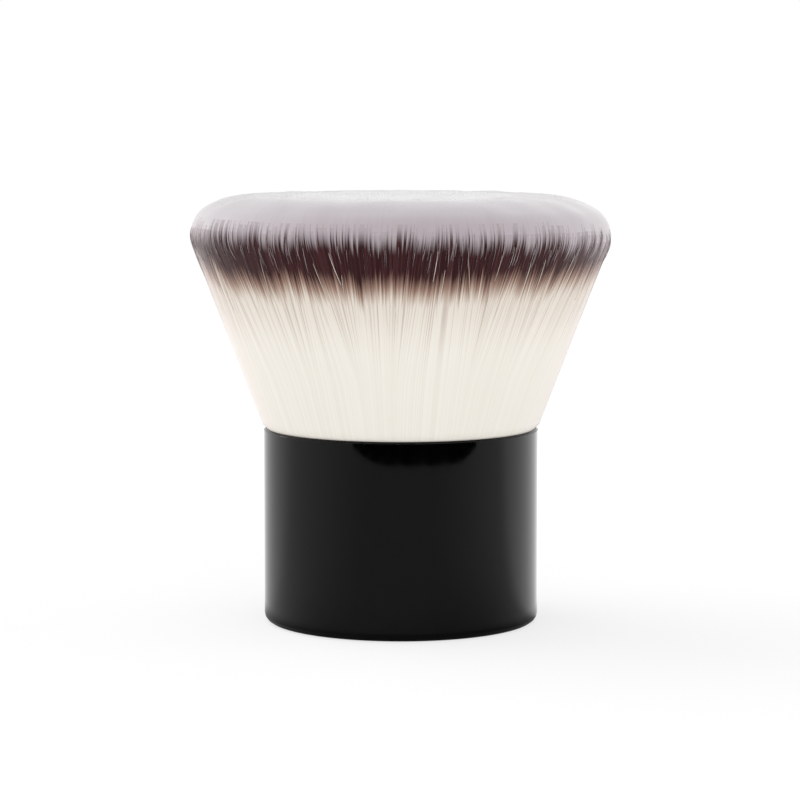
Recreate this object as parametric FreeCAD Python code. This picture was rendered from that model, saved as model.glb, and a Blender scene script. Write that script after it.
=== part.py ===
# Short flat-top powder brush: a lacquered cup handle round a moulded liner, a weight and a potted bristle knot.
# Every piece is turned about the Z axis. The origin is the middle of the base, +Z is up, and lengths are in mm.
# Rounds are turned in short straight steps, because a turned arc costs thousands of triangles.
import FreeCAD, Part
import math
import os

# Handle shell: a drawn metal cup, open at the top
handle_diameter = 36.0
handle_height = 25.5
shell_wall = 0.8
shell_floor = 0.8
foot_radius = 1.1
foot_steps = 4
lip_chamfer_share = 0.3  # of the wall, on each edge of the lip

# Inner liner: a moulded cup with a socket above its deck and a pocket below
liner_gap = 0.3
liner_wall = 1.2
liner_deck = 1.5
socket_depth = 6.0
socket_lead_in = 0.5
crush_rib_count = 12
crush_rib_width = 1.4
crush_rib_clearance = 0.03
crush_rib_setback = 0.9  # from the liner's foot and from its top
glue_key_count = 6
glue_key_width = 1.2
glue_key_height = 0.4
glue_key_hub_radius = 3.0

# Base weight: a steel slug that lies on the shell's floor, in the liner's pocket
weight_thickness = 5.0
weight_clearance = 0.15
weight_headroom = 0.2
weight_chamfer = 0.5
weight_bed = 0.3

# Knot ferrule: a thin metal collar round the bristle roots, turned in at its foot
ferrule_wall = 0.4
ferrule_clearance = 0.1
ferrule_turn_in = 1.8
ferrule_rim = 2.5  # above the bundle's full width
knot_bed = 0.6

# Root resin and binding thread, which hold the roots together inside the ferrule
resin_depth = 2.5
thread_diameter = 1.0
thread_turns = 2
thread_slope = 0.6

# Bristle bundle
bristle_clearance = 0.05
mouth_depth = 1.0
lip_gap = 0.1
lip_overhang = 0.12
head_diameter = 55.0
head_height = 30.7  # from the lip to the flat top
shoulder_radius = 4.2  # where the side turns in
shoulder_lower_steps = 2  # below its widest ring
shoulder_upper_steps = 4  # above its widest ring
crown_edge_radius = 12.4  # where the shoulder runs into the flat top
crown_edge_steps = 2
shoulder_turn_degrees = 59  # above level, where the one radius gives way to the other

# Places that follow from the sizes above, from the axis outwards
shell_radius = handle_diameter / 2
bore_radius = shell_radius - shell_wall
liner_radius = bore_radius - liner_gap
socket_radius = liner_radius - liner_wall
weight_radius = socket_radius - weight_clearance
ferrule_radius = socket_radius - ferrule_clearance
ferrule_bore_radius = ferrule_radius - ferrule_wall
turn_in_radius = ferrule_bore_radius - ferrule_turn_in
bundle_radius = ferrule_bore_radius - bristle_clearance
waist_radius = bundle_radius - thread_diameter
mouth_radius = bore_radius - bristle_clearance

# Heights that follow from the sizes above, from the base upwards
weight_foot = shell_floor + weight_bed
weight_top = weight_foot + weight_thickness
deck_foot = weight_top + weight_headroom
deck_top = deck_foot + liner_deck
liner_top = deck_top + socket_depth
ferrule_foot = deck_top + knot_bed
resin_foot = ferrule_foot + ferrule_wall
resin_top = resin_foot + resin_depth
thread_top = resin_top + thread_turns * thread_diameter
bundle_full = thread_top + thread_slope
ferrule_top = bundle_full + ferrule_rim
seat_height = handle_height + lip_gap
crown_height = handle_height + head_height

AXIS_POINT = FreeCAD.Vector(0, 0, 0)
AXIS = FreeCAD.Vector(0, 0, 1)
FULL_TURN = 360
RIGHT_ANGLE = math.pi / 2


def at(radius, height):
    """A point of an outline, in the plane that is turned about the axis."""
    return FreeCAD.Vector(radius, 0, height)


def turned(*places):
    """The solid that a closed outline sweeps in a full turn, from places given as a radius and a height."""
    points = [at(*place) for place in places]
    outline = Part.makePolygon([*points, points[0]])
    return Part.Face(outline).revolve(AXIS_POINT, AXIS, FULL_TURN)


def round_place(centre, radius, angle):
    """The place on a round of the outline at an angle above level."""
    return centre[0] + radius * math.cos(angle), centre[1] + radius * math.sin(angle)


def round_places(centre, radius, start_angle, end_angle, steps):
    """The places along a round, from its start up to the step before its end."""
    turn = (end_angle - start_angle) / steps
    return [round_place(centre, radius, start_angle + turn * step) for step in range(steps)]


def round_pattern(shape, count):
    """Copies of a shape, evenly spaced about the axis."""
    copies = []
    for i in range(count):
        copy = shape.copy()
        copy.rotate(AXIS_POINT, AXIS, FULL_TURN * i / count)
        copies.append(copy)
    return copies


def handle_shell():
    """The cup that the hand holds, with a rounded foot and a chamfered lip."""
    lip_chamfer = shell_wall * lip_chamfer_share
    foot_centre = (shell_radius - foot_radius, foot_radius)
    return turned(
        (0, 0),
        *round_places(foot_centre, foot_radius, -RIGHT_ANGLE, 0, foot_steps),
        (shell_radius, foot_radius),
        (shell_radius, handle_height - lip_chamfer),
        (shell_radius - lip_chamfer, handle_height),
        (bore_radius + lip_chamfer, handle_height),
        (bore_radius, handle_height - lip_chamfer),
        (bore_radius, shell_floor),
        (0, shell_floor),
    )


def crush_rib():
    """One rib of triangular section on the liner's side, whose tip bears on the shell."""
    tip_radius = bore_radius - crush_rib_clearance
    root_radius = liner_radius - liner_wall / 2
    half_width = crush_rib_width / 2
    foot = shell_floor + crush_rib_setback
    corners = [
        FreeCAD.Vector(root_radius, -half_width, foot),
        FreeCAD.Vector(tip_radius, 0, foot),
        FreeCAD.Vector(root_radius, half_width, foot),
    ]
    section = Part.makePolygon([*corners, corners[0]])
    length = liner_top - crush_rib_setback - foot
    return Part.Face(section).extrude(AXIS * length)


def glue_keys():
    """The low ribs that radiate over the liner's deck and key the knot's adhesive."""
    length = socket_radius + liner_wall / 2 - glue_key_hub_radius
    height = glue_key_height + liner_deck / 2
    corner = FreeCAD.Vector(glue_key_hub_radius, -glue_key_width / 2, deck_top - liner_deck / 2)
    key = Part.makeBox(length, glue_key_width, height, corner)
    return round_pattern(key, glue_key_count)


def inner_liner():
    """The moulding that fills the shell, seats the ferrule and holds the weight down."""
    body = turned(
        (0, deck_foot),
        (socket_radius, deck_foot),
        (socket_radius, shell_floor),
        (liner_radius, shell_floor),
        (liner_radius, liner_top),
        (socket_radius + socket_lead_in, liner_top),
        (socket_radius, liner_top - socket_lead_in),
        (socket_radius, deck_top),
        (0, deck_top),
    )
    ribs = round_pattern(crush_rib(), crush_rib_count)
    return body.multiFuse(ribs + glue_keys()).removeSplitter()


def weight_adhesive():
    """The bed of hot-melt adhesive between the weight and the shell's floor."""
    return Part.makeCylinder(weight_radius, weight_bed, at(0, shell_floor), AXIS)


def base_weight():
    """The steel slug, chamfered round both faces."""
    return turned(
        (0, weight_foot),
        (weight_radius - weight_chamfer, weight_foot),
        (weight_radius, weight_foot + weight_chamfer),
        (weight_radius, weight_top - weight_chamfer),
        (weight_radius - weight_chamfer, weight_top),
        (0, weight_top),
    )


def knot_adhesive():
    """The bed of adhesive between the knot and the deck, which fills the spaces between the glue keys."""
    bed = Part.makeCylinder(socket_radius, knot_bed, at(0, deck_top), AXIS)
    return bed.cut(Part.makeCompound(glue_keys()))


def knot_ferrule():
    """The collar round the roots, with its foot turned in under the resin."""
    return turned(
        (turn_in_radius, ferrule_foot),
        (ferrule_radius, ferrule_foot),
        (ferrule_radius, ferrule_top),
        (ferrule_bore_radius, ferrule_top),
        (ferrule_bore_radius, resin_foot),
        (turn_in_radius, resin_foot),
    )


def root_resin():
    """The cast puck that locks the roots and grips the ferrule's turned-in foot."""
    return turned(
        (0, ferrule_foot),
        (turn_in_radius, ferrule_foot),
        (turn_in_radius, resin_foot),
        (ferrule_bore_radius, resin_foot),
        (ferrule_bore_radius, resin_top),
        (0, resin_top),
    )


def binding_thread():
    """The glued turns of thread round the waist of the bundle, as one band with a ridge for each turn."""
    groove_radius = waist_radius + thread_diameter / 2
    ridges = [(groove_radius, resin_top)]
    for turn in range(thread_turns):
        foot = resin_top + turn * thread_diameter
        ridges.append((bundle_radius, foot + thread_diameter / 2))
        ridges.append((groove_radius, foot + thread_diameter))
    return turned((waist_radius, resin_top), *ridges, (waist_radius, thread_top))


def bristle_bundle():
    """All the bristles as one soft solid: the bound roots, the splay inside the shell and the flared flat-top head."""
    shoulder_turn = math.radians(shoulder_turn_degrees)
    centres_apart = crown_edge_radius - shoulder_radius
    crown_edge_centre_height = crown_height - crown_edge_radius
    shoulder_centre = (
        head_diameter / 2 - shoulder_radius,
        crown_edge_centre_height + centres_apart * math.sin(shoulder_turn),
    )
    crown_edge_centre = round_place(shoulder_centre, -centres_apart, shoulder_turn)

    # The side runs straight from the heel and touches the shoulder's round.
    heel = (shell_radius + lip_overhang, seat_height)
    out_to_centre = shoulder_centre[0] - heel[0]
    up_to_centre = shoulder_centre[1] - heel[1]
    to_centre = math.hypot(out_to_centre, up_to_centre)
    side_angle = math.atan2(up_to_centre, out_to_centre) - math.asin(shoulder_radius / to_centre)
    side_end_angle = side_angle - RIGHT_ANGLE

    return turned(
        (0, resin_top),
        (waist_radius, resin_top),
        (waist_radius, thread_top),
        (bundle_radius, bundle_full),
        (bundle_radius, ferrule_top),
        (mouth_radius, handle_height - mouth_depth),
        (mouth_radius, seat_height),
        heel,
        *round_places(shoulder_centre, shoulder_radius, side_end_angle, 0, shoulder_lower_steps),
        *round_places(shoulder_centre, shoulder_radius, 0, shoulder_turn, shoulder_upper_steps),
        *round_places(crown_edge_centre, crown_edge_radius, shoulder_turn, RIGHT_ANGLE, crown_edge_steps),
        (crown_edge_centre[0], crown_height),
        (0, crown_height),
    )


PIECES = (
    handle_shell,
    inner_liner,
    weight_adhesive,
    base_weight,
    knot_adhesive,
    knot_ferrule,
    root_resin,
    binding_thread,
    bristle_bundle,
)


def main():
    os.makedirs("parts", exist_ok=True)
    for piece in PIECES:
        solid = piece()
        solid.exportStep(os.path.join("parts", piece.__name__ + ".step"))
        print(piece.__name__, "valid" if solid.isValid() else "NOT VALID", len(solid.Solids), round(solid.Volume, 1))


main()
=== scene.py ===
import math

import bpy
import numpy as np
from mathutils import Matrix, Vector


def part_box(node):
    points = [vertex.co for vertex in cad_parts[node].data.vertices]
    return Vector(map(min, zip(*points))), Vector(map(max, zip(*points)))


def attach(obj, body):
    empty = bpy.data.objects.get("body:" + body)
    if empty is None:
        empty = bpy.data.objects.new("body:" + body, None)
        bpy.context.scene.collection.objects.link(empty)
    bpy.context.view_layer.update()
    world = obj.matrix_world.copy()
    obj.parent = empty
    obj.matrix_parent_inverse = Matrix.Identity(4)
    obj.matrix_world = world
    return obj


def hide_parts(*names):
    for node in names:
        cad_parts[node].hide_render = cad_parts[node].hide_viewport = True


# Looks of a short flat-top powder brush: a gloss lacquered handle, and a head of modelled filaments.
# Lengths are in metres, and heights are above the base.
# Distances along the head's outline start at its heel, just above the handle's rim.

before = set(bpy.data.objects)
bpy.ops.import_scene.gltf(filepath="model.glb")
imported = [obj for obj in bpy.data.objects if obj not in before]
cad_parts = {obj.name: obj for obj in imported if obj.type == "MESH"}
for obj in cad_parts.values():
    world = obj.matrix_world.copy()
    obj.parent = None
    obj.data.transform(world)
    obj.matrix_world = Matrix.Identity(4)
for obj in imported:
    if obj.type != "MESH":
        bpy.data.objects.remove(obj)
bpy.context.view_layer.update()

MM = 0.001
FULL_TURN = 2 * math.pi
SEED = 61
random = np.random.default_rng(SEED)

# Head outline, from the same sizes as the solid
rim_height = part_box("handle_shell")[1].z
handle_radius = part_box("handle_shell")[1].x
head_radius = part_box("bristle_bundle")[1].x
crown_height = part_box("bristle_bundle")[1].z
root_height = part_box("bristle_bundle")[0].z
lip_gap = 0.1 * MM
lip_overhang = 0.12 * MM
shoulder_radius = 4.2 * MM
crown_edge_radius = 12.4 * MM
shoulder_turn = math.radians(59)

centres_apart = crown_edge_radius - shoulder_radius
heel = (handle_radius + lip_overhang, rim_height + lip_gap)
shoulder_centre = (
    head_radius - shoulder_radius,
    crown_height - crown_edge_radius + centres_apart * math.sin(shoulder_turn),
)
crown_edge_centre = (
    shoulder_centre[0] - centres_apart * math.cos(shoulder_turn),
    shoulder_centre[1] - centres_apart * math.sin(shoulder_turn),
)
heel_to_centre = (shoulder_centre[0] - heel[0], shoulder_centre[1] - heel[1])
heel_to_centre_length = math.hypot(*heel_to_centre)
heel_to_centre_slope = math.atan2(heel_to_centre[1], heel_to_centre[0])
side_slope = heel_to_centre_slope - math.asin(shoulder_radius / heel_to_centre_length)
side_normal = side_slope - math.pi / 2
side_length = math.sqrt(heel_to_centre_length**2 - shoulder_radius**2)
shoulder_end = side_length + shoulder_radius * (shoulder_turn - side_normal)
crown_edge_end = shoulder_end + crown_edge_radius * (math.pi / 2 - shoulder_turn)
outline_length = crown_edge_end + crown_edge_centre[0]
fan_apex_height = heel[1] - heel[0] * math.tan(side_slope)


def outline(distance, depth):
    """Radius and height at a distance along the head's outline, sunk in by a depth. Both may be arrays."""
    along_side = np.minimum(distance, side_length)
    on_shoulder = np.clip(distance - side_length, 0, shoulder_end - side_length)
    on_crown_edge = np.clip(distance - shoulder_end, 0, crown_edge_end - shoulder_end)
    over_crown = np.maximum(distance - crown_edge_end, 0)
    angle = side_normal + on_shoulder / shoulder_radius + on_crown_edge / crown_edge_radius
    past_shoulder = distance > shoulder_end
    bend_radius = np.where(past_shoulder, crown_edge_radius, shoulder_radius)
    centre_radius = np.where(past_shoulder, crown_edge_centre[0], shoulder_centre[0])
    centre_height = np.where(past_shoulder, crown_edge_centre[1], shoulder_centre[1])
    radius = centre_radius + (bend_radius - depth) * np.cos(angle)
    height = centre_height + (bend_radius - depth) * np.sin(angle)
    short_of_bend = side_length - along_side
    radius = radius - short_of_bend * math.cos(side_slope) - over_crown
    height = height - short_of_bend * math.sin(side_slope)
    return radius, height


# Nodes and materials
GRAIN_DETAIL = 3.0
EVEN = (1, 1, 1)


def new_material(name):
    """A node material with its node tree and its shader."""
    material = bpy.data.materials.new(name)
    material.use_nodes = True
    return material, material.node_tree, material.node_tree.nodes["Principled BSDF"]


def opaque(colour):
    """Three numbers of a colour as an input takes them, with a full fourth one."""
    return (*colour, 1.0)


def feed(tree, place, given):
    """Links a socket to an input, or sets the input to a value."""
    if isinstance(given, bpy.types.NodeSocket):
        tree.links.new(given, place)
    else:
        place.default_value = given


def calculate(tree, operation, *given):
    """The result of one Math node, from sockets or numbers."""
    node = tree.nodes.new("ShaderNodeMath")
    node.operation = operation
    for place, value in zip(node.inputs, given):
        feed(tree, place, value)
    return node.outputs[0]


def ramp(tree, value, low, high, to_low=0.0, to_high=1.0):
    """The value carried smoothly from one range to another and held at its ends."""
    node = tree.nodes.new("ShaderNodeMapRange")
    node.interpolation_type = "SMOOTHSTEP"
    names = ("Value", "From Min", "From Max", "To Min", "To Max")
    for name, given in zip(names, (value, low, high, to_low, to_high)):
        feed(tree, node.inputs[name], given)
    return node.outputs["Result"]


def mix_colours(tree, share, first, second, blend="MIX"):
    """One colour going over into another by a share. A colour is a socket or three numbers."""
    node = tree.nodes.new("ShaderNodeMix")
    node.data_type = "RGBA"
    node.blend_type = blend
    feed(tree, node.inputs["Factor"], share)
    inputs = [socket for socket in node.inputs if socket.type == "RGBA"]
    for place, given in zip(inputs, (first, second)):
        feed(tree, place, given if isinstance(given, bpy.types.NodeSocket) else opaque(given))
    return next(socket for socket in node.outputs if socket.type == "RGBA")


def grain(tree, size, stretch=EVEN):
    """Noise with grains of about one size, stretched along the object's axes."""
    place = tree.nodes.new("ShaderNodeTexCoord")
    scale = tree.nodes.new("ShaderNodeMapping")
    scale.inputs["Scale"].default_value = tuple(1 / (size * share) for share in stretch)
    noise = tree.nodes.new("ShaderNodeTexNoise")
    noise.inputs["Scale"].default_value = 1.0
    noise.inputs["Detail"].default_value = GRAIN_DETAIL
    tree.links.new(place.outputs["Object"], scale.inputs["Vector"])
    tree.links.new(scale.outputs["Vector"], noise.inputs["Vector"])
    return noise.outputs["Fac"]


def raise_surface(tree, shader, height, depth):
    """Bump from a height between 0 and 1 that stands for a depth in metres."""
    bump = tree.nodes.new("ShaderNodeBump")
    bump.inputs["Distance"].default_value = depth
    tree.links.new(height, bump.inputs["Height"])
    tree.links.new(bump.outputs["Normal"], shader.inputs["Normal"])


# Bristle materials
# A place in the bake map holds all that a filament's colour needs. Across it lie shade cells, one for each
# pair of levels by which the band's two edges are shifted. Up it goes the distance along the head's outline.
BAKE_MAP = "OFBake"
SHIFT_LEVELS = 16
TOP_LEVEL = SHIFT_LEVELS - 1
SHADE_CELLS = SHIFT_LEVELS * SHIFT_LEVELS
MAP_LENGTH = 60 * MM
CELL_INSET = 0.25
CELL_MIDDLE = 0.5

# Colours from root to tip: cream, tan, brown, lavender and white
PACKED_TONES = (
    (0.915, 0.88, 0.81),
    (0.36, 0.23, 0.18),
    (0.032, 0.009, 0.010),
    (0.45, 0.40, 0.43),
    (0.82, 0.815, 0.815),
)
LOWER_TONES = (
    (0.93, 0.89, 0.82),
    (0.40, 0.27, 0.21),
    (0.035, 0.010, 0.011),
)
SINGLE_TONES = (
    *LOWER_TONES,
    (0.42, 0.35, 0.37),
    (0.97, 0.965, 0.96),
)
CROWN_TONES = (
    *LOWER_TONES,
    (0.52, 0.47, 0.50),
    (0.90, 0.89, 0.895),
)
# The packed tips darken from pale to lavender up the shoulder, as painted shade
TIP_PALE = (0.43, 0.366, 0.405)
TIP_SHADED_LAVENDER = (0.345, 0.293, 0.327)
TIP_WHITE = (0.62, 0.61, 0.62)
FILAMENT_DIM = (0.95, 0.94, 0.92)
DEEP_CREAM = (0.86, 0.81, 0.78)
WORN_BROWN = (0.065, 0.022, 0.025)

# Where along the outline the colours change
CREAM_DEEPENS = 11.5 * MM
CREAM_DEEPEST = 22.0 * MM
STREAK_STARTS = 8.5 * MM
STREAK_FULL = 20.0 * MM
STREAK_SHARE = 0.5
TAN_STARTS = 19.9 * MM
BROWN_STARTS = 21.6 * MM
BROWN_ENDS = 27.2 * MM
PALE_ENDS = 28.5 * MM
LAVENDER_FULL = 33.0 * MM
WHITE_STARTS = 34.5 * MM
WHITE_FULL = 44.0 * MM
WHITE_UNEVEN = 6.0 * MM
WHITE_PATCH = 5.0 * MM
LOWER_BLEND = 1.4 * MM
UPPER_BLEND = 1.3 * MM
STEADY_SHIFT = 2.6 * MM
STRAY_SHIFT = 3.0 * MM
STRAY_POWER = 3

# Ranges of a filament's own value, and its surface
STREAKED_VALUES = (0.65, 1.0)
WORN_VALUES = (0.3, 1.0)
FILAMENT_ROUGHNESS = (0.5, 0.66)
FILAMENT_SPECULAR = 0.05
WARM_SHEEN = (1.0, 0.90, 0.90)
WHITE_SHEEN = (1.0, 1.0, 1.0)


def shift_of(tree, level):
    """How far a level moves a colour change along the filament: little in the middle, far at the ends."""
    side = calculate(tree, "MULTIPLY_ADD", level, 2 / TOP_LEVEL, -1.0)
    raised = calculate(tree, "POWER", calculate(tree, "ABSOLUTE", side), STRAY_POWER)
    signed = calculate(tree, "MULTIPLY", raised, calculate(tree, "SIGN", side))
    stray = calculate(tree, "MULTIPLY", signed, STRAY_SHIFT)
    return calculate(tree, "MULTIPLY_ADD", side, STEADY_SHIFT, stray)


def level_shift(level):
    """The same shift as a number, for levels in an array."""
    side = level * 2 / TOP_LEVEL - 1
    return side * STEADY_SHIFT + side**STRAY_POWER * STRAY_SHIFT


def change_at(tree, distance, place, blend):
    """A share that goes from 0 to 1 about a place along the filament."""
    return ramp(tree, distance, place - blend, place + blend)


def map_place(tree):
    """How far across and how far up the bake map a place lies."""
    place = tree.nodes.new("ShaderNodeUVMap")
    place.uv_map = BAKE_MAP
    parts = tree.nodes.new("ShaderNodeSeparateXYZ")
    tree.links.new(place.outputs["UV"], parts.inputs[0])
    return parts.outputs["X"], parts.outputs["Y"]


def own_value(tree, number):
    """A value between 0 and 1 that every whole number has for its own."""
    noise = tree.nodes.new("ShaderNodeTexWhiteNoise")
    noise.noise_dimensions = "1D"
    tree.links.new(calculate(tree, "ADD", number, CELL_MIDDLE), noise.inputs["W"])
    return noise.outputs["Value"]


def give_sheen(shader, tint, roughness):
    """The soft shine of fine filaments seen at a slant, with hardly any gloss."""
    shader.inputs["Specular IOR Level"].default_value = FILAMENT_SPECULAR
    shader.inputs["Sheen Weight"].default_value = 1.0
    shader.inputs["Sheen Roughness"].default_value = roughness
    shader.inputs["Sheen Tint"].default_value = opaque(tint)


def bristle_material(name, tones, sheen_tint, sheen_roughness, see_through=0.0):
    """Tapered filament: cream, then tan and brown, then lavender going over into white at the tip."""
    cream, tan, brown, lavender, white = tones
    material, tree, shader = new_material(name)
    across, up = map_place(tree)
    cell = calculate(tree, "FLOOR", calculate(tree, "MULTIPLY", across, SHADE_CELLS))
    upper_level = calculate(tree, "FLOOR", calculate(tree, "DIVIDE", cell, SHIFT_LEVELS))
    lower_level = calculate(tree, "MODULO", cell, SHIFT_LEVELS)
    distance = calculate(tree, "MULTIPLY", up, MAP_LENGTH)
    own = own_value(tree, cell)

    to_lower = calculate(tree, "SUBTRACT", distance, shift_of(tree, lower_level))
    to_upper = calculate(tree, "SUBTRACT", distance, shift_of(tree, upper_level))
    deep_cream = tuple(tone * share for tone, share in zip(cream, DEEP_CREAM))
    colour = mix_colours(tree, ramp(tree, distance, CREAM_DEEPENS, CREAM_DEEPEST), cream, deep_cream)
    streaked = ramp(tree, distance, STREAK_STARTS, STREAK_FULL, 0.0, STREAK_SHARE)
    streak = calculate(tree, "MULTIPLY", ramp(tree, own, *STREAKED_VALUES), streaked)
    colour = mix_colours(tree, streak, colour, tan)
    colour = mix_colours(tree, change_at(tree, to_lower, TAN_STARTS, LOWER_BLEND), colour, tan)
    own_brown = mix_colours(tree, ramp(tree, own, *WORN_VALUES), brown, WORN_BROWN)
    colour = mix_colours(tree, change_at(tree, to_lower, BROWN_STARTS, LOWER_BLEND), colour, own_brown)
    tip = mix_colours(tree, ramp(tree, distance, WHITE_STARTS, WHITE_FULL), lavender, white)
    colour = mix_colours(tree, change_at(tree, to_upper, BROWN_ENDS, UPPER_BLEND), colour, tip)

    dimmed = mix_colours(tree, 1.0, colour, FILAMENT_DIM, "MULTIPLY")
    colour = mix_colours(tree, own, colour, dimmed)
    tree.links.new(colour, shader.inputs["Base Color"])
    tree.links.new(ramp(tree, own, 0.0, 1.0, *FILAMENT_ROUGHNESS), shader.inputs["Roughness"])
    give_sheen(shader, sheen_tint, sheen_roughness)
    if see_through:
        through = tree.nodes.new("ShaderNodeBsdfTranslucent")
        both = tree.nodes.new("ShaderNodeMixShader")
        both.inputs[0].default_value = see_through
        tree.links.new(colour, through.inputs["Color"])
        tree.links.new(shader.outputs[0], both.inputs[1])
        tree.links.new(through.outputs[0], both.inputs[2])
        tree.links.new(both.outputs[0], tree.nodes["Material Output"].inputs["Surface"])
    return material


# Only the crown's filaments let light through
FILAMENT = bristle_material("bristle_filament", SINGLE_TONES, WHITE_SHEEN, sheen_roughness=0.35)
CROWN_FILAMENT = bristle_material(
    "bristle_crown_filament", CROWN_TONES, WHITE_SHEEN, sheen_roughness=0.4, see_through=0.25
)
PACKED = bristle_material("bristle_packed", PACKED_TONES, WARM_SHEEN, sheen_roughness=0.32)

# The packed tips have a map of their own, a disc with the crown's middle at its centre
DISC_SPAN = 66 * MM
DISC_MIDDLE = 0.5
STREAKS = 600
SPECKLE = 0.22 * MM
SPECKLE_STARTS = 29.5 * MM
SPECKLE_FULL = 35.5 * MM
SPECKLE_GRAIN = (0.35, 0.65)
# Painted shade in the speckle's hollows
SPECKLE_SHADE = (0.78, 0.76, 0.77)
SPECKLE_DEPTH = 0.010 * MM
TIP_ROUGHNESS = (0.55, 0.66)
TIP_SHEEN_ROUGHNESS = 0.66


def tips_material(name, pale, lavender, white):
    """Packed filament tips: streaked round the shoulder, darker up it as painted shade, and speckled with
    single tips over the crown, with painted shade in the hollows.
    """
    material, tree, shader = new_material(name)
    across, up = (calculate(tree, "SUBTRACT", place, DISC_MIDDLE) for place in map_place(tree))
    squares = calculate(tree, "MULTIPLY_ADD", across, across, calculate(tree, "MULTIPLY", up, up))
    distance = calculate(tree, "MULTIPLY_ADD", calculate(tree, "SQRT", squares), -DISC_SPAN, outline_length)
    turn = calculate(tree, "ARCTAN2", up, across)

    streak = own_value(tree, calculate(tree, "FLOOR", calculate(tree, "MULTIPLY", turn, STREAKS / FULL_TURN)))
    speckled = ramp(tree, distance, SPECKLE_STARTS, SPECKLE_FULL)
    streaked = calculate(tree, "SUBTRACT", 1.0, speckled)
    speckle = calculate(tree, "MULTIPLY", ramp(tree, grain(tree, SPECKLE), *SPECKLE_GRAIN), speckled)

    uneven = calculate(tree, "MULTIPLY_ADD", grain(tree, WHITE_PATCH), WHITE_UNEVEN, -WHITE_UNEVEN / 2)
    to_white = calculate(tree, "ADD", distance, uneven)
    # Painted shade: the tips darken from pale to lavender up the shoulder towards the crown's edge
    colour = mix_colours(tree, ramp(tree, distance, PALE_ENDS, LAVENDER_FULL), pale, lavender)
    colour = mix_colours(tree, ramp(tree, to_white, WHITE_STARTS, WHITE_FULL), colour, white)
    dimmed = mix_colours(tree, 1.0, colour, FILAMENT_DIM, "MULTIPLY")
    colour = mix_colours(tree, calculate(tree, "MULTIPLY", streak, streaked), colour, dimmed)
    # Painted shade: darker where the speckle sinks between the tips
    hollow_shade = mix_colours(tree, 1.0, colour, SPECKLE_SHADE, "MULTIPLY")
    colour = mix_colours(tree, speckle, colour, hollow_shade)
    tree.links.new(colour, shader.inputs["Base Color"])
    tree.links.new(ramp(tree, speckle, 0.0, 1.0, *TIP_ROUGHNESS), shader.inputs["Roughness"])
    give_sheen(shader, WHITE_SHEEN, TIP_SHEEN_ROUGHNESS)
    raise_surface(tree, shader, calculate(tree, "SUBTRACT", 1.0, speckle), SPECKLE_DEPTH)
    return material


PACKED_TIPS = tips_material("bristle_packed_tips", TIP_PALE, TIP_SHADED_LAVENDER, TIP_WHITE)

# Filaments
TUBE_SIDES = 3
WALL_CORNERS = 4
CAP_RISE = np.array([0, 0, 1]) / SHADE_CELLS


def unit(vectors):
    """Vectors brought to length 1."""
    return vectors / np.linalg.norm(vectors, axis=-1, keepdims=True)


def add_mesh(name, points, corners, corner_counts, uvs, material):
    """A bristle piece from its points, its faces' corners in one row and their places in the bake map."""
    mesh = bpy.data.meshes.new(name)
    mesh.vertices.add(len(points))
    mesh.vertices.foreach_set("co", points.astype(np.float32).ravel())
    mesh.loops.add(len(corners))
    mesh.loops.foreach_set("vertex_index", corners.astype(np.int32))
    mesh.polygons.add(len(corner_counts))
    starts = np.cumsum(corner_counts) - corner_counts
    mesh.polygons.foreach_set("loop_start", starts.astype(np.int32))
    mesh.update(calc_edges=True)
    mesh.uv_layers.new(name=BAKE_MAP).data.foreach_set("uv", uvs.astype(np.float32).ravel())
    mesh.materials.append(material)
    piece = bpy.data.objects.new(name, mesh)
    bpy.context.scene.collection.objects.link(piece)
    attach(piece, "root")
    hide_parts("bristle_bundle")
    return piece


def cell_sides(cells):
    """Where shade cells begin and end across the bake map, less an inset."""
    return (cells + CELL_INSET) / SHADE_CELLS, (cells + 1 - CELL_INSET) / SHADE_CELLS


def wall_places(shape, cells, up):
    """Places in the bake map of the faces between rings. Rings lie along the last axis but one."""
    left, right = cell_sides(cells)
    below = up[..., :-1, :]
    above = up[..., 1:, :]
    places = np.empty(shape + (2,))
    for corner, (side, level) in enumerate(((left, below), (right, below), (right, above), (left, above))):
        places[..., corner, 0] = side
        places[..., corner, 1] = level
    return places


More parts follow.
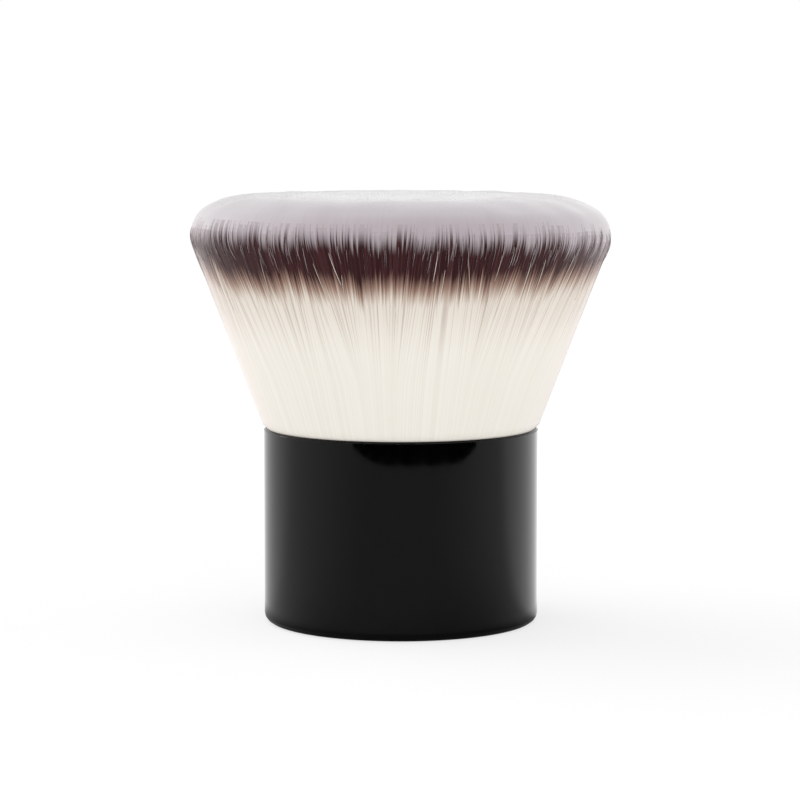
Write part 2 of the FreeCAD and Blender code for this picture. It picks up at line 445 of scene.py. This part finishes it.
def add_filaments(name, paths, radii, cells, distances, material=FILAMENT):
    """Closed tubes along many paths at once. Paths are filaments by stations by three coordinates."""
    count, stations = radii.shape
    along = unit(np.gradient(paths, axis=1))
    spin = random.uniform(0, FULL_TURN, count)
    aside = np.stack([np.cos(spin), np.sin(spin), np.zeros(count)], axis=1)[:, None, :]
    across = unit(np.cross(along, np.broadcast_to(aside, along.shape)))
    third = np.cross(along, across)
    angles = FULL_TURN * np.arange(TUBE_SIDES) / TUBE_SIDES
    rings = np.cos(angles)[:, None] * across[:, :, None, :] + np.sin(angles)[:, None] * third[:, :, None, :]
    points = paths[:, :, None, :] + radii[:, :, None, None] * rings

    numbers = np.arange(count * stations * TUBE_SIDES).reshape(count, stations, TUBE_SIDES)
    after = np.roll(numbers, -1, axis=2)
    walls = np.stack([numbers[:, :-1], after[:, :-1], after[:, 1:], numbers[:, 1:]], axis=-1)
    caps = np.stack([numbers[:, 0, ::-1], numbers[:, -1]], axis=1)

    up = distances / MAP_LENGTH
    wall_uv = wall_places(walls.shape, cells[:, None, None], up[:, :, None])
    left, right = cell_sides(cells)
    cap_uv = np.empty(caps.shape + (2,))
    for corner, side in enumerate((left, right, right)):
        cap_uv[:, :, corner, 0] = side[:, None]
    cap_uv[:, 0, :, 1] = up[:, 0, None] + CAP_RISE
    cap_uv[:, 1, :, 1] = up[:, -1, None] - CAP_RISE

    corners = np.concatenate([walls.ravel(), caps.ravel()])
    wall_counts = np.full(walls[..., 0].size, WALL_CORNERS)
    cap_counts = np.full(caps[..., 0].size, TUBE_SIDES)
    corner_counts = np.concatenate([wall_counts, cap_counts])
    uvs = np.concatenate([wall_uv.reshape(-1, 2), cap_uv.reshape(-1, 2)])
    add_mesh(name, points.reshape(-1, 3), corners, corner_counts, uvs, material)


# Clumps: filaments that lie together lean together, and change colour at about the same place
# Pairs are for the band's lower and upper edge. A clump size is how many go round and how far they spread.
# Spreads, narrowing, slant and reach are in shares of half the range of shift levels.
EDGES = 2
CLUMP_SIZES = ((52, 0.08), (160, 0.07), (600, 0.12))
OWN_SPREAD = (0.15, 0.19)
NARROWING = (0.40, -0.26)
SLANT = (0.0, -0.17)
SKEW = (0.0, 0.8)
LONGEST_REACH = 0.36
LEAN_CLUMPS = 42
LEAN_SPREAD = math.radians(3.5)
SIDEWAYS_FAN = math.radians(8)
LEAN_FROM = 8 * MM
LEAN_PIVOT = 20 * MM
LEAN_TO = 32 * MM
clump_shifts = [[random.normal(0, spread, count) for count, spread in CLUMP_SIZES] for edge in range(EDGES)]
clump_leans = random.normal(0, LEAN_SPREAD, LEAN_CLUMPS)


def round_ring(turn, values):
    """Values at even places round the axis, read off between them at any angle."""
    places = FULL_TURN * np.arange(len(values)) / len(values)
    return np.interp(turn, places, values, period=FULL_TURN)


def lean_at(turn):
    """How far filaments at an angle lean aside: clumps to and fro, and all of them towards the sides."""
    return round_ring(turn, clump_leans) - SIDEWAYS_FAN * np.sin(2 * turn)


def lean_aside(turn, distance):
    """How far aside the lean carries a filament at a distance along the outline."""
    return (np.clip(distance, LEAN_FROM, LEAN_TO) - LEAN_PIVOT) * np.tan(lean_at(turn))


def edge_levels(turn, narrowing, slant, spread, skew, tables):
    """Levels of one edge of the band, which the sides, the clumps and every single filament move.

    With a skew, clumps and filaments move the edge further up than down.
    They never move it up by more than the longest reach.
    """
    shift = narrowing * (1 + np.cos(2 * turn)) / 2 + slant * np.cos(turn)
    own = random.normal(0, spread, len(turn))
    for shifts in tables:
        own = own + round_ring(turn, shifts)
    shift = shift + np.minimum(own + skew * own**2, LONGEST_REACH)
    return np.clip(np.round(TOP_LEVEL / 2 * (1 + shift)), 0, TOP_LEVEL)


def shade_cells(turn):
    """Shade cells of filaments at angles about the axis."""
    edges = zip(NARROWING, SLANT, OWN_SPREAD, SKEW, clump_shifts)
    lower, upper = (edge_levels(turn, *edge) for edge in edges)
    return upper * SHIFT_LEVELS + lower


# The trimmed crown isn't quite level: one side stands higher, a ring inside its edge sinks, and it ripples
CROWN_LEAN = 0.013
CROWN_LEAN_POWER = 4
CROWN_DROOP = 0.19 * MM
DROOP_FROM = 11.0 * MM
DROOP_TO = 25.5 * MM
CROWN_LEAN_STARTS = 46 * MM
RIPPLES = 14
RIPPLE_HEIGHT = 0.014 * MM
RIPPLE_MILLIMETRES = (2.5, 8)
ripple_lengths = random.uniform(*RIPPLE_MILLIMETRES, RIPPLES) * MM
ripple_turns = random.uniform(0, FULL_TURN, RIPPLES)
ripple_starts = random.uniform(0, FULL_TURN, RIPPLES)


def settle(radius, turn, height):
    """Points from radius, angle about the axis and height, with the crown's lean, droop and ripples."""
    x = radius * np.cos(turn)
    y = radius * np.sin(turn)
    crown_share = np.clip((height - CROWN_LEAN_STARTS) / (crown_height - CROWN_LEAN_STARTS), 0, 1)
    droop = np.sin(math.pi * np.clip((radius - DROOP_FROM) / (DROOP_TO - DROOP_FROM), 0, 1)) ** 2
    lift = -CROWN_LEAN * x * (x / head_radius) ** CROWN_LEAN_POWER - CROWN_DROOP * droop
    for length, direction, start in zip(ripple_lengths, ripple_turns, ripple_starts):
        wave = (x * math.cos(direction) + y * math.sin(direction)) * FULL_TURN / length
        lift = lift + RIPPLE_HEIGHT * np.sin(wave + start)
    return np.stack(np.broadcast_arrays(x, y, height + lift * crown_share), axis=-1)


# Packed body of the bundle, which the single filaments lie on
CORE_SEGMENTS = 1200
CORE_RINGS = 108
ROOT_RINGS = 3
CORE_SIDE_DEPTH = 0.12 * MM
CORE_CROWN_DEPTH = 0.16 * MM
CORE_DEEPENS = 4.0 * MM
CORE_ROOT_RADIUS = 12.8 * MM
MOUTH_INSET = 1.1 * MM
MOUTH_DEPTH = 0.7 * MM
HEEL_LIFT = 0.5 * MM
AXIS_RADIUS = 0.01 * MM


def core_depth(distance):
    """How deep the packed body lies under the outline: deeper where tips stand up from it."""
    share = np.clip((distance - side_length) / CORE_DEEPENS, 0, 1)
    return CORE_SIDE_DEPTH + (CORE_CROWN_DEPTH - CORE_SIDE_DEPTH) * share


def add_core():
    """The turned body inside the filaments, from the roots to just below the tips, as two pieces."""
    share = np.linspace(0, 1, CORE_RINGS)
    distance = HEEL_LIFT + (outline_length - HEEL_LIFT - AXIS_RADIUS) * share
    radius, height = outline(distance, core_depth(distance))
    mouth_radius = handle_radius - MOUTH_INSET
    radius = np.concatenate([[AXIS_RADIUS, CORE_ROOT_RADIUS, mouth_radius], radius])
    height = np.concatenate([[root_height, root_height, rim_height - MOUTH_DEPTH], height])
    up = np.concatenate([HEEL_LIFT * np.arange(ROOT_RINGS) / ROOT_RINGS, distance]) / MAP_LENGTH
    rings = len(radius)
    turn = FULL_TURN * np.arange(CORE_SEGMENTS) / CORE_SEGMENTS
    aside = lean_aside(turn[None, :], MAP_LENGTH * up[:, None])
    leaning_turn = turn[None, :] + aside / np.maximum(radius, handle_radius)[:, None]
    points = settle(radius[:, None], leaning_turn, height[:, None]).reshape(-1, 3)
    numbers = np.arange(rings * CORE_SEGMENTS).reshape(rings, CORE_SEGMENTS)
    after = np.roll(numbers, -1, axis=1)
    walls = np.stack([numbers[:-1], after[:-1], after[1:], numbers[1:]], axis=-1)
    cells = shade_cells(turn)
    uvs = wall_places(walls.shape, cells[None, :], up[:, None])
    tips_start = BROWN_ENDS + UPPER_BLEND + level_shift(cells // SHIFT_LEVELS)
    past_brown = MAP_LENGTH * up[:-1, None] > tips_start[None, :]
    reach = (outline_length - MAP_LENGTH * up) / DISC_SPAN
    disc = DISC_MIDDLE + reach[:, None, None] * np.stack([np.cos(turn), np.sin(turn)], axis=-1)
    disc_uvs = disc.reshape(-1, 2)[walls]
    for name, part, places, material in (
        ("bristle_core", ~past_brown, uvs, PACKED),
        ("bristle_tips_core", past_brown, disc_uvs, PACKED_TIPS),
    ):
        used, corners = np.unique(walls[part], return_inverse=True)
        corner_counts = np.full(part.sum(), WALL_CORNERS)
        part_uvs = places[part].reshape(-1, 2)
        piece = add_mesh(name, points[used], corners.ravel(), corner_counts, part_uvs, material)
        piece.data.shade_smooth()


add_core()

# Side filaments, which rise out of the packed body on the flared side and run over the shoulder
SIDE_COUNT = 220
SIDE_SHALLOWEST = 0.10 * MM
SIDE_DEEPEST = 0.14 * MM
SIDE_STATIONS = 9
BEND_STATIONS = 6
SIDE_RADIUS = 0.034 * MM
TIP_RADIUS = 0.010 * MM
SWELLS_FROM = 12 * MM
TAPER_STARTS = 20 * MM
TAPER_POWER = 1.2
SUNK_AT_RIM = 0.25 * MM
FIRST_SHOWS = 14 * MM
LAST_SHOWS = 26 * MM
FIRST_TIP = 27.6 * MM
LAST_TIP = 30.0 * MM
TIP_GATHERING = 2  # how closely the tips keep to the middle of their range
SINKS_FROM = 25.5 * MM
SUNK_AT_TIP = 0.22 * MM
SIDE_TILT = math.radians(2.5)


def add_side_filaments():
    """Single filaments on the side, spread evenly all round."""
    turn = FULL_TURN * (np.arange(SIDE_COUNT) + random.uniform(0, 1, SIDE_COUNT)) / SIDE_COUNT
    depth = random.uniform(SIDE_SHALLOWEST, SIDE_DEEPEST, (SIDE_COUNT, 1))
    tip_share = random.beta(TIP_GATHERING, TIP_GATHERING, (SIDE_COUNT, 1))
    tip = FIRST_TIP + (LAST_TIP - FIRST_TIP) * tip_share
    tilt = random.normal(0, SIDE_TILT, (SIDE_COUNT, 1))
    shows = random.uniform(FIRST_SHOWS, LAST_SHOWS, (SIDE_COUNT, 1))

    rising = np.linspace(HEEL_LIFT, side_length, SIDE_STATIONS, endpoint=False)
    bending = side_length + (tip - side_length) * np.linspace(0, 1, BEND_STATIONS)
    distance = np.concatenate([np.broadcast_to(rising, (SIDE_COUNT, SIDE_STATIONS)), bending], axis=1)
    sunk = SUNK_AT_RIM * np.clip(1 - distance / shows, 0, 1)
    sunk = sunk + SUNK_AT_TIP * np.clip((distance - SINKS_FROM) / (tip - SINKS_FROM), 0, 1) ** 2
    radius, height = outline(distance, depth + sunk)
    aside = lean_aside(turn[:, None], distance) + (distance - LEAN_PIVOT) * np.tan(tilt)
    paths = settle(radius, turn[:, None] + aside / radius, height)
    taper = np.clip((tip - distance) / (tip - TAPER_STARTS), 0, 1)
    swell = np.clip((distance - SWELLS_FROM) / (TAPER_STARTS - SWELLS_FROM), 0, 1)
    radii = TIP_RADIUS + (SIDE_RADIUS - TIP_RADIUS) * swell * taper**TAPER_POWER
    add_filaments("bristles_side", paths, radii, shade_cells(turn), distance)


add_side_filaments()

# Stray filaments, which cross the others near the band and dive back in at both ends
STRAY_STATIONS = 7
STRAY_DIVE = 0.25 * MM
STRAY_DIVE_POWER = 3
STRAY_TILT = math.radians(4)
STRAY_MIDDLE = 1.05  # of the thickness
STRAY_THINS = 0.8  # of the thickness, from the middle to the ends


def add_strays(name, count, middles, lengths, thickness, shades):
    """Stray filaments about a stretch of the outline, which take the colour of another stretch."""
    middle = random.uniform(*middles, count)
    length = random.uniform(*lengths, count)
    turn = random.uniform(0, FULL_TURN, count)
    tilt = random.normal(0, STRAY_TILT, count)
    share = np.linspace(-1, 1, STRAY_STATIONS)
    distance = middle[:, None] + length[:, None] / 2 * share
    depth = STRAY_DIVE * np.abs(share) ** STRAY_DIVE_POWER
    radius, height = outline(distance, np.broadcast_to(depth, distance.shape))
    aside = lean_aside(turn[:, None], distance) + length[:, None] / 2 * share * np.tan(tilt)[:, None]
    paths = settle(radius, turn[:, None] + aside / radius, height)
    radii = np.broadcast_to(thickness * (STRAY_MIDDLE - STRAY_THINS * np.abs(share) ** 2), distance.shape)
    shade_from, shade_to = shades
    shade = np.broadcast_to(shade_from + (shade_to - shade_from) * (share + 1) / 2, distance.shape)
    add_filaments(name, paths, radii, shade_cells(turn), shade)


add_strays(
    "bristles_stray_lavender",
    count=240,
    middles=(24.4 * MM, 26.8 * MM),
    lengths=(2 * MM, 4.5 * MM),
    thickness=0.032 * MM,
    shades=(26.2 * MM, 29 * MM),
)
add_strays(
    "bristles_stray_cream",
    count=40,
    middles=(19.5 * MM, 24.5 * MM),
    lengths=(4 * MM, 8 * MM),
    thickness=0.046 * MM,
    shades=(18.6 * MM, 19.6 * MM),
)
add_strays(
    "bristles_stray_brown",
    count=50,
    middles=(25.6 * MM, 27.2 * MM),
    lengths=(1.6 * MM, 3.4 * MM),
    thickness=0.022 * MM,
    shades=(23 * MM, 24.5 * MM),
)

# Crown filaments, of which only the last stretch under the tip is made
CROWN_PIECES = 2
CROWN_PER_PIECE = 7000
CROWN_SAMPLES = 600
CROWN_STARTS = 32.0 * MM
CROWN_FULL = 42.0 * MM
CROWN_STRETCH = 1.8 * MM
CROWN_STATIONS = 4
CROWN_RADIUS = 0.030 * MM
CROWN_TAPER_POWER = 0.8
TIP_LEAST_SINK = 0.05 * MM
TIP_SINK = 0.08 * MM
TIP_DRIFT = 0.25 * MM
LEAST_DRIFT_RADIUS = 1 * MM
SHOULDER_TILT = math.radians(-25)
CROWN_TILT = math.radians(6)
TILT_SPREAD = math.radians(7)
SHADE_STRETCH = 1.0 * MM


def add_crown_filaments(name, count):
    """One piece of crown filaments, thinning out from the flat top to the shoulder."""
    tried = np.linspace(CROWN_STARTS, outline_length, CROWN_SAMPLES)
    thinned = np.clip((tried - CROWN_STARTS) / (CROWN_FULL - CROWN_STARTS), 0, 1)
    ring = np.maximum(outline(tried, 0)[0], 0) * thinned
    area = np.cumsum(ring) - ring[0]
    sample = (np.arange(count) + random.uniform(0, 1, count)) / count
    distance = np.interp(sample * area[-1], area, tried)
    sink = TIP_LEAST_SINK + TIP_SINK * np.abs(random.normal(0, 1, count))
    radius, height = outline(distance, sink)
    turn = random.uniform(0, FULL_TURN, count)

    inner_share = np.clip((distance - CROWN_STARTS) / (crown_edge_end - CROWN_STARTS), 0, 1)
    outward = CROWN_TILT * radius / crown_edge_centre[0]
    tip_tilt = SHOULDER_TILT + (outward - SHOULDER_TILT) * inner_share + random.normal(0, TILT_SPREAD, count)
    fan_tilt = np.arctan2(radius, height - fan_apex_height)
    half = CROWN_STRETCH / 2
    middle = (radius - half * np.sin(tip_tilt), height - half * np.cos(tip_tilt))
    foot = (middle[0] - half * np.sin(fan_tilt), middle[1] - half * np.cos(fan_tilt))
    share = np.linspace(0, 1, CROWN_STATIONS)
    weights = ((1 - share) ** 2, 2 * share * (1 - share), share**2)
    path_radius, path_height = (
        sum(weight * value[:, None] for weight, value in zip(weights, values))
        for values in zip(foot, middle, (radius, height))
    )
    drift = random.normal(0, TIP_DRIFT, count)[:, None] * share**2
    drift = drift / np.maximum(path_radius, LEAST_DRIFT_RADIUS)
    paths = settle(path_radius, turn[:, None] + drift, path_height)
    thickness = TIP_RADIUS + (CROWN_RADIUS - TIP_RADIUS) * (1 - share) ** CROWN_TAPER_POWER
    radii = np.broadcast_to(thickness, path_radius.shape)
    shade = distance[:, None] - SHADE_STRETCH * (1 - share)
    add_filaments(name, paths, radii, shade_cells(turn), shade, CROWN_FILAMENT)


for number in range(CROWN_PIECES):
    add_crown_filaments(f"bristles_crown_{number + 1}", CROWN_PER_PIECE)

# Materials of the rigid pieces
COLOUR_GRAIN = (0.3, 0.7)
ROUGHNESS_GRAIN = (0.25, 0.75)
LACQUER_SPECULAR = 0.19


def grained_material(name, dark, light, size, roughness, depth, stretch=EVEN, metallic=0.0):
    """A surface whose colour, roughness and height follow one grain."""
    material, tree, shader = new_material(name)
    noise = grain(tree, size, stretch)
    colour = mix_colours(tree, ramp(tree, noise, *COLOUR_GRAIN), dark, light)
    tree.links.new(colour, shader.inputs["Base Color"])
    tree.links.new(ramp(tree, noise, *ROUGHNESS_GRAIN, *roughness), shader.inputs["Roughness"])
    shader.inputs["Metallic"].default_value = metallic
    raise_surface(tree, shader, noise, depth)
    return material, shader


def dress(material, *nodes):
    """Gives carried-over nodes their material."""
    for node in nodes:
        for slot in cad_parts[node].material_slots:
            slot.material = material


lacquer, lacquer_shader = grained_material(
    "black_lacquer",
    dark=(0.0004, 0.0004, 0.0005),
    light=(0.0008, 0.0008, 0.0009),
    size=1.2 * MM,
    roughness=(0.03, 0.05),
    depth=0.00002 * MM,
)
lacquer_shader.inputs["Specular IOR Level"].default_value = LACQUER_SPECULAR
dress(lacquer, "handle_shell")
plastic, _ = grained_material(
    "moulded_plastic",
    dark=(0.10, 0.10, 0.105),
    light=(0.13, 0.13, 0.135),
    size=0.3 * MM,
    roughness=(0.4, 0.55),
    depth=0.01 * MM,
)
dress(plastic, "inner_liner")
steel, _ = grained_material(
    "turned_steel",
    dark=(0.42, 0.42, 0.43),
    light=(0.60, 0.60, 0.61),
    size=0.2 * MM,
    roughness=(0.28, 0.42),
    depth=0.004 * MM,
    stretch=(8, 8, 1),
    metallic=1.0,
)
dress(steel, "base_weight")
adhesive, _ = grained_material(
    "set_adhesive",
    dark=(0.55, 0.47, 0.30),
    light=(0.68, 0.60, 0.42),
    size=1.5 * MM,
    roughness=(0.25, 0.4),
    depth=0.05 * MM,
)
dress(adhesive, "weight_adhesive", "knot_adhesive")
collar, _ = grained_material(
    "drawn_collar",
    dark=(0.70, 0.70, 0.71),
    light=(0.82, 0.82, 0.83),
    size=0.15 * MM,
    roughness=(0.2, 0.35),
    depth=0.003 * MM,
    stretch=(1, 1, 12),
    metallic=1.0,
)
dress(collar, "knot_ferrule")
resin, _ = grained_material(
    "cast_resin",
    dark=(0.30, 0.17, 0.06),
    light=(0.42, 0.26, 0.10),
    size=2.0 * MM,
    roughness=(0.15, 0.3),
    depth=0.03 * MM,
)
dress(resin, "root_resin")
thread, _ = grained_material(
    "waxed_thread",
    dark=(0.55, 0.52, 0.46),
    light=(0.75, 0.72, 0.66),
    size=0.25 * MM,
    roughness=(0.55, 0.75),
    depth=0.05 * MM,
    stretch=(4, 4, 1),
)
dress(thread, "binding_thread")

# Stage: a wide white floor, and two sheets on it that only reflections show, as painted reflections of shade
# and glow
FLOOR_REACH = 60.0
FLOOR_WHITE = (0.95, 0.95, 0.95)
FLOOR_CORNERS = ((-1, -1), (1, -1), (1, 1), (-1, 1))
SHEET_ROUGHNESS = 0.9


def add_sheet(name, corners, colour):
    """A flat stage piece from its corners."""
    mesh = bpy.data.meshes.new(name)
    mesh.from_pydata(corners, [], [tuple(range(len(corners)))])
    material, _, shader = new_material(name)
    shader.inputs["Base Color"].default_value = opaque(colour)
    shader.inputs["Roughness"].default_value = SHEET_ROUGHNESS
    shader.inputs["Specular IOR Level"].default_value = 0.0
    mesh.materials.append(material)
    sheet = bpy.data.objects.new(name, mesh)
    bpy.context.scene.collection.objects.link(sheet)
    return sheet


floor = add_sheet("floor", [(x * FLOOR_REACH, y * FLOOR_REACH, 0) for x, y in FLOOR_CORNERS], FLOOR_WHITE)


def looked_at(tree):
    """1 for rays that show things, straight or by way of gloss or glass, and 0 for rays that light them."""
    rays = tree.nodes.new("ShaderNodeLightPath")
    seen = calculate(tree, "MAXIMUM", rays.outputs["Is Camera Ray"], rays.outputs["Is Glossy Ray"])
    return calculate(tree, "MAXIMUM", seen, rays.outputs["Is Transmission Ray"])


# The floor shows partly as plain white, so that the shadow on it stays faint
WHITE_SHARE = 0.7
floor_tree = floor.data.materials[0].node_tree
plain_white = floor_tree.nodes.new("ShaderNodeEmission")
floor_mix = floor_tree.nodes.new("ShaderNodeMixShader")
white_share = calculate(floor_tree, "MULTIPLY", looked_at(floor_tree), WHITE_SHARE)
floor_tree.links.new(white_share, floor_mix.inputs[0])
floor_tree.links.new(floor_tree.nodes["Principled BSDF"].outputs[0], floor_mix.inputs[1])
floor_tree.links.new(plain_white.outputs[0], floor_mix.inputs[2])
floor_tree.links.new(floor_mix.outputs[0], floor_tree.nodes["Material Output"].inputs["Surface"])

# The two sheets: a dark stretch in front of the brush, a painted dark reflection, and a disc round it
# The disc paints reflections of shade in front, of a shadow at the brush's foot, and of a glow behind, more
# on the right
# Turns are from straight ahead, and positive to the right
EDGE_LIFT = 0.2 * MM
EDGE_DARK = (0.0005, 0.0005, 0.0005)
EDGE_TURNS = (-39, -14, 0, 17, 34, 49, 63)
EDGE_REACHES = (0.225, 0.197, 0.197, 0.197, 0.197, 0.199, 0.222)
DARK_REACH = 0.70
# The disc's painted reflections: shade in front, a shadow at the brush's foot, and glows at the back
DIM_LIFT = 0.1 * MM
DIM_REACH = 0.40
DIM_STEPS = 96
DIM_GREY = (0.58, 0.58, 0.60)
DIM_TURNS = (math.radians(20), math.radians(80))
FOOT_SHADE = (0.40, 0.40, 0.41)
FOOT_SHADE_REACH = 8 * MM
RIGHT_GLOW = 0.55
RIGHT_GLOW_TURNS = (math.radians(82), math.radians(100))
LEFT_GLOW = 0.18
LEFT_GLOW_TURNS = (math.radians(-95), math.radians(-112))
WHITE_LIGHT = (1.0, 1.0, 1.0)


def out_in_front(turn_degrees, reach):
    """A corner of the dark sheet, at a turn from straight ahead and a reach from the brush."""
    turn = math.radians(turn_degrees)
    return reach * math.sin(turn), -reach * math.cos(turn), EDGE_LIFT


near_edge = [out_in_front(turn, reach) for turn, reach in zip(EDGE_TURNS, EDGE_REACHES)]
far_edge = [out_in_front(turn, DARK_REACH) for turn in reversed(EDGE_TURNS)]
# A dark sheet that paints a dark reflection in front of the brush
painted_dark_reflection = add_sheet("painted_dark_reflection", near_edge + far_edge, EDGE_DARK)
disc_turns = [FULL_TURN * step / DIM_STEPS for step in range(DIM_STEPS)]
disc_edge = [(DIM_REACH * math.cos(turn), DIM_REACH * math.sin(turn), DIM_LIFT) for turn in disc_turns]
painted_reflection_disc = add_sheet("painted_reflection_disc", disc_edge, FLOOR_WHITE)

dim_tree = painted_reflection_disc.data.materials[0].node_tree
dim_shader = dim_tree.nodes["Principled BSDF"]
dim_place = dim_tree.nodes.new("ShaderNodeTexCoord")
dim_parts = dim_tree.nodes.new("ShaderNodeSeparateXYZ")
dim_tree.links.new(dim_place.outputs["Object"], dim_parts.inputs[0])
to_right = dim_parts.outputs["X"]
to_back = dim_parts.outputs["Y"]
dim_turn = calculate(dim_tree, "ARCTAN2", to_right, calculate(dim_tree, "MULTIPLY", to_back, -1.0))
squares = [calculate(dim_tree, "POWER", way, 2.0) for way in (to_right, to_back)]
dim_out = calculate(dim_tree, "SQRT", calculate(dim_tree, "ADD", *squares))
# Painted shade in front, seen only in reflections
dim_share = ramp(dim_tree, calculate(dim_tree, "ABSOLUTE", dim_turn), *DIM_TURNS)
dim_colour = mix_colours(dim_tree, dim_share, DIM_GREY, FLOOR_WHITE)
# Painted shadow, darker towards the brush's foot
foot_share = ramp(dim_tree, dim_out, handle_radius, handle_radius + FOOT_SHADE_REACH)
dim_colour = mix_colours(dim_tree, foot_share, FOOT_SHADE, dim_colour)
dim_tree.links.new(dim_colour, dim_shader.inputs["Base Color"])
# Painted glows to the left and right behind the brush, seen only in reflections
right_glow = ramp(dim_tree, dim_turn, *RIGHT_GLOW_TURNS, 0.0, RIGHT_GLOW)
left_glow = ramp(dim_tree, dim_turn, *LEFT_GLOW_TURNS, 0.0, LEFT_GLOW)
dim_shader.inputs["Emission Color"].default_value = opaque(WHITE_LIGHT)
dim_tree.links.new(calculate(dim_tree, "ADD", right_glow, left_glow), dim_shader.inputs["Emission Strength"])
for sheet in (painted_dark_reflection, painted_reflection_disc):
    sheet.visible_camera = False
    sheet.visible_diffuse = False
    sheet.visible_shadow = False

# Light: an even white surround, and soft distant lamps to the left, to the right and in front
AMBIENT = 0.80
world = bpy.data.worlds.new("surround")
bpy.context.scene.world = world
world.use_nodes = True
surround = world.node_tree
sky = surround.nodes["Background"]
sky.inputs["Color"].default_value = opaque(WHITE_LIGHT)
surround.links.new(ramp(surround, looked_at(surround), 0.0, 1.0, AMBIENT, 1.0), sky.inputs["Strength"])


def add_sun(name, strength, spread, azimuth, elevation):
    """A soft distant lamp. Angles are in degrees, and azimuth turns from the front to the right."""
    lamp = bpy.data.lights.new(name, "SUN")
    lamp.energy = strength
    lamp.angle = math.radians(spread)
    sun = bpy.data.objects.new(name, lamp)
    bpy.context.scene.collection.objects.link(sun)
    turn = math.radians(azimuth)
    rise = math.radians(elevation)
    towards = Vector((math.sin(turn) * math.cos(rise), -math.cos(turn) * math.cos(rise), math.sin(rise)))
    sun.rotation_mode = "QUATERNION"
    sun.rotation_quaternion = towards.to_track_quat("Z", "Y")


add_sun("left_light", strength=1.05, spread=50, azimuth=-118, elevation=44)
add_sun("right_light", strength=0.46, spread=50, azimuth=100, elevation=8)
add_sun("front_light", strength=0.25, spread=40, azimuth=10, elevation=28)

# Camera: at the photograph's angle and distance, aimed so that the brush lies where the photograph has it
# Its lens and sensor are in millimetres
CAMERA_DISTANCE = 387.9 * MM
CAMERA_ELEVATION = math.radians(5.73)
CAMERA_LENS = 132.95
SENSOR_WIDTH = 36
PIVOT_HEIGHT = 30 * MM
AIM = Vector((-0.13 * MM, 0, 29.015 * MM))
camera = bpy.data.objects.new("camera", bpy.data.cameras.new("camera"))
camera.data.lens = CAMERA_LENS
camera.data.sensor_width = SENSOR_WIDTH
camera.location = (
    0,
    -CAMERA_DISTANCE * math.cos(CAMERA_ELEVATION),
    PIVOT_HEIGHT + CAMERA_DISTANCE * math.sin(CAMERA_ELEVATION),
)
camera.rotation_mode = "QUATERNION"
camera.rotation_quaternion = (AIM - camera.location).to_track_quat("-Z", "Y")
bpy.context.scene.collection.objects.link(camera)
bpy.context.scene.camera = camera
bpy.context.scene.view_settings.view_transform = "Standard"
